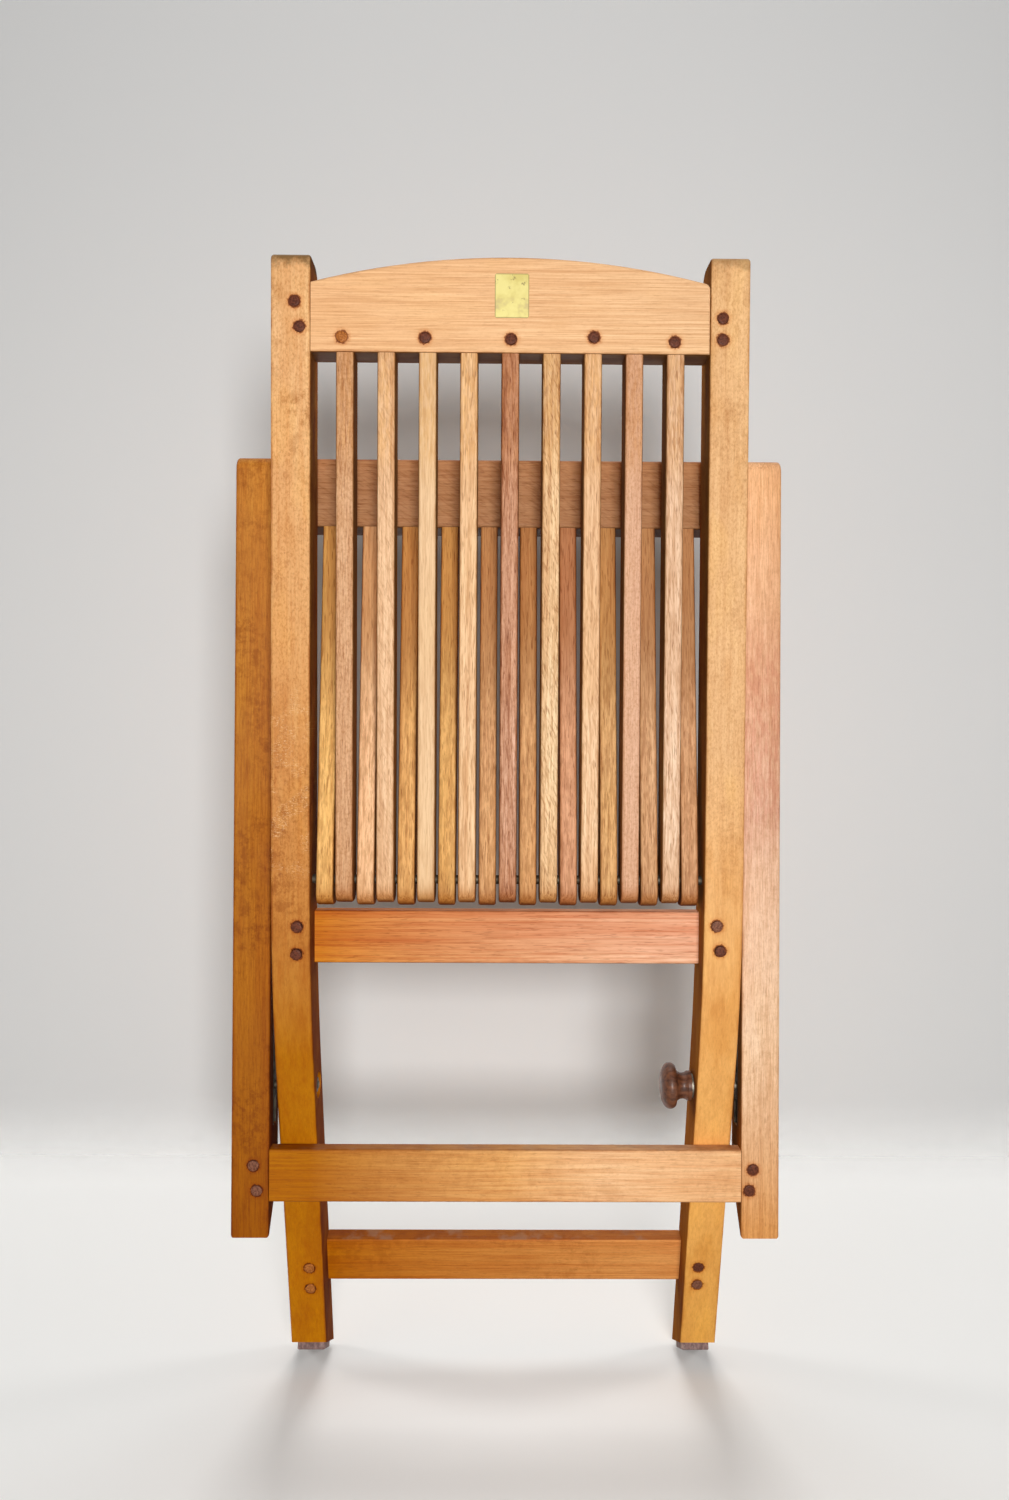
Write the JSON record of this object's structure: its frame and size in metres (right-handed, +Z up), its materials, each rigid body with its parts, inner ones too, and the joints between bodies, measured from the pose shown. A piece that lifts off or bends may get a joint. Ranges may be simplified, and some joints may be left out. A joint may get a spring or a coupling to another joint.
{
  "type": "folding slatted garden chair",
  "caption": "Folding slatted teak garden chair, folded flat, with a bent back frame, a hinged slatted seat, rear legs in sliding tracks and a clamp knob.",
  "frame": {"origin": "middle of the folded chair's footprint, on the surface that it stands on", "axes": "+Z up along the upright back, +Y towards the side that is the front of the open chair, +X across the chair, to the right when it is seen from behind"},
  "size_m": [0.502, 0.157, 1.0523],
  "materials": {
    "teak": "oiled, satin, worn",
    "hardwood_pin": "sanded flush",
    "knob_wood": "dark lacquer, glossy",
    "knob_brass": "turned, bright",
    "fastener_steel": "zinc plated, dulled",
    "track_steel": "rolled, satin",
    "glide_plastic": "moulded, scuffed"
  },
  "bodies": {
    "back_frame": {"left_back_stile": "teak", "right_back_stile": "teak", "crest_rail": "teak", "mid_rail": "teak", "front_stretcher": "teak", "back_slat_1": "teak", "back_slat_2": "teak", "back_slat_3": "teak", "back_slat_4": "teak", "back_slat_5": "teak", "back_slat_6": "teak", "back_slat_7": "teak", "back_slat_8": "teak", "back_slat_9": "teak", "seat_rod": "fastener_steel", "back_frame_dowels": "hardwood_pin", "crest_slat_dowels": "hardwood_pin", "front_foot_glides": "glide_plastic", "front_glide_nails": "fastener_steel", "left_clamp_bolt": "fastener_steel", "left_clamp_nut": "fastener_steel", "left_clamp_washer": "fastener_steel", "right_clamp_bolt": "fastener_steel", "knob_washer": "fastener_steel"},
    "seat": {"seat_front_rail": "teak", "seat_slat_1": "teak", "seat_slat_2": "teak", "seat_slat_3": "teak", "seat_slat_4": "teak", "seat_slat_5": "teak", "seat_slat_6": "teak", "seat_slat_7": "teak", "seat_slat_8": "teak", "seat_slat_9": "teak", "seat_slat_10": "teak", "seat_slat_dowels": "hardwood_pin", "left_pivot_bolt": "fastener_steel", "right_pivot_bolt": "fastener_steel", "pivot_washers": "fastener_steel"},
    "rear_legs": {"left_rear_leg": "teak", "right_rear_leg": "teak", "rear_stretcher": "teak", "rear_leg_dowels": "hardwood_pin", "rear_foot_glides": "glide_plastic", "rear_glide_nails": "fastener_steel", "left_track_channel": "track_steel", "right_track_channel": "track_steel", "track_screws": "fastener_steel"},
    "track_sliders": {"left_track_slider": "track_steel", "right_track_slider": "track_steel"},
    "knob": {"lock_knob": "knob_wood", "knob_insert": "knob_brass"}
  },
  "joints": [
    {"name": "seat_fold", "type": "hinge", "parent": "back_frame", "child": "seat", "pos_m": [0, -0.06117, 0.50227], "axis": [-1, 0, 0], "range_deg": [0, 99.4]},
    {"name": "rear_leg_fold", "type": "hinge", "parent": "seat", "child": "rear_legs", "pos_m": [0, -0.00728, 0.86283], "axis": [1, 0, 0], "range_deg": [0, 26.75]},
    {"name": "track_slide", "type": "slide", "parent": "rear_legs", "child": "track_sliders", "axis": [0, 0.0341, 0.9994], "range_m": [0, 0.23516]},
    {"name": "knob_turn", "type": "hinge", "parent": "back_frame", "child": "knob", "pos_m": [0.175, -0.02637, 0.30426], "axis": [-1, 0, 0], "range_deg": [0, 360]}
  ],
  "couplings": [
    {"joint": "rear_leg_fold", "follows": "seat_fold", "ratio": 0.26916},
    {"joint": "track_slide", "follows": "seat_fold", "m_per_rad": 0.13555}
  ]
}
